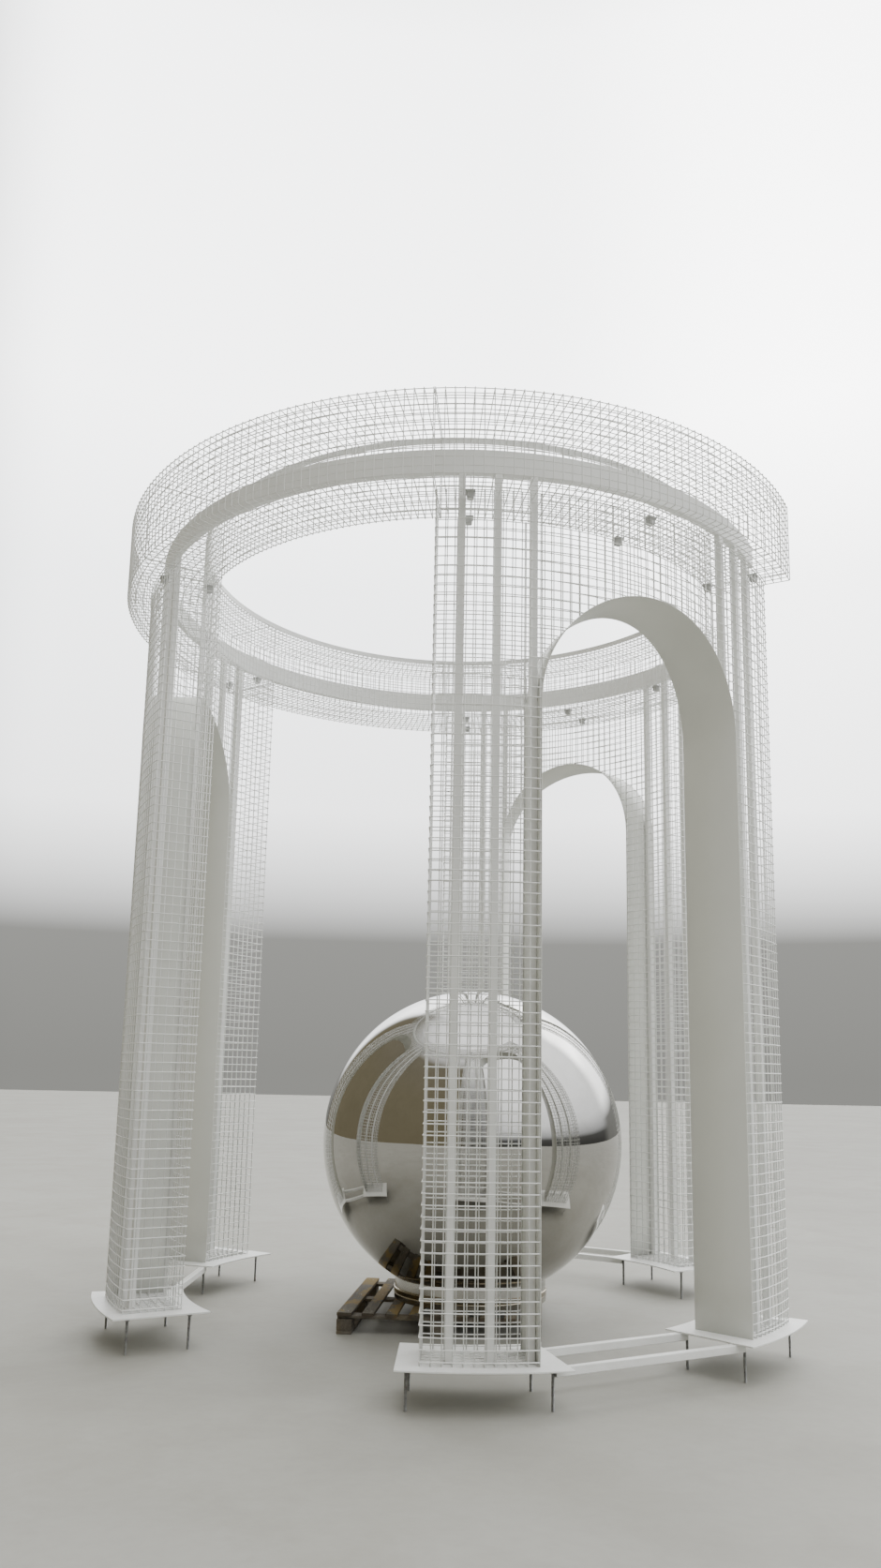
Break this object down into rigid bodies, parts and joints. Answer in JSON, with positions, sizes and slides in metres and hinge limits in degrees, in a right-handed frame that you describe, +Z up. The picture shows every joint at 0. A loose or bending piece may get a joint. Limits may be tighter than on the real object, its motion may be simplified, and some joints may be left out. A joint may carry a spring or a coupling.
{
  "type": "welded mesh pavilion with mirror sphere",
  "caption": "Round white welded-mesh pavilion: arched walls on levelling rods carry an open canopy ring round a mirror-polished sphere on a pallet.",
  "frame": {"origin": "on the ground at the centre of the ring of arches, on the underside of the pallet's middle foot board", "axes": "+Z up; -Y towards the camera side of the picture; +X along the open bay with no canopy"},
  "size_m": [4.3754, 4.6118, 5.1],
  "materials": {
    "white_paint": "satin white paint over welded steel",
    "lining_paint": "satin off-white paint over sheet steel",
    "mirror_steel": "mirror-polished stainless steel",
    "stainless": "polished stainless sheet, slightly dulled",
    "pallet_wood": "weathered softwood with old ochre paint"
  },
  "bodies": {
    "root": {"arch_a_right_base_frame": "white_paint", "arch_a_right_pier_mesh": "white_paint", "arch_a_left_base_frame": "white_paint", "arch_a_left_pier_mesh": "white_paint", "arch_a_lining": "lining_paint", "arch_a_right_spandrel_mesh": "white_paint", "arch_a_left_spandrel_mesh": "white_paint", "arch_a_inner_tie_bar": "white_paint", "arch_a_outer_tie_bar": "white_paint", "arch_a_ring_beam": "white_paint", "arch_a_canopy_mesh": "white_paint", "arch_a_top_rim": "white_paint", "arch_b_right_base_frame": "white_paint", "arch_b_right_pier_mesh": "white_paint", "arch_b_left_base_frame": "white_paint", "arch_b_left_pier_mesh": "white_paint", "arch_b_lining": "lining_paint", "arch_b_right_spandrel_mesh": "white_paint", "arch_b_left_spandrel_mesh": "white_paint", "arch_b_inner_tie_bar": "white_paint", "arch_b_outer_tie_bar": "white_paint", "arch_b_ring_beam": "white_paint", "arch_b_canopy_mesh": "white_paint", "arch_b_top_rim": "white_paint", "arch_c_right_base_frame": "white_paint", "arch_c_right_pier_mesh": "white_paint", "arch_c_left_base_frame": "white_paint", "arch_c_left_pier_mesh": "white_paint", "arch_c_lining": "lining_paint", "arch_c_right_spandrel_mesh": "white_paint", "arch_c_left_spandrel_mesh": "white_paint", "arch_c_inner_tie_bar": "white_paint", "arch_c_outer_tie_bar": "white_paint", "arch_c_ring_beam": "white_paint", "arch_c_canopy_mesh": "white_paint", "arch_c_top_rim": "white_paint", "bridge_ac_ring_beam": "white_paint", "bridge_ac_canopy_mesh": "white_paint", "bridge_ac_top_rim": "white_paint", "bridge_bc_ring_beam": "white_paint", "bridge_bc_canopy_mesh": "white_paint", "bridge_bc_top_rim": "white_paint", "mirror_sphere": "mirror_steel", "sphere_collar": "stainless", "pallet": "pallet_wood"}
  },
  "joints": []
}
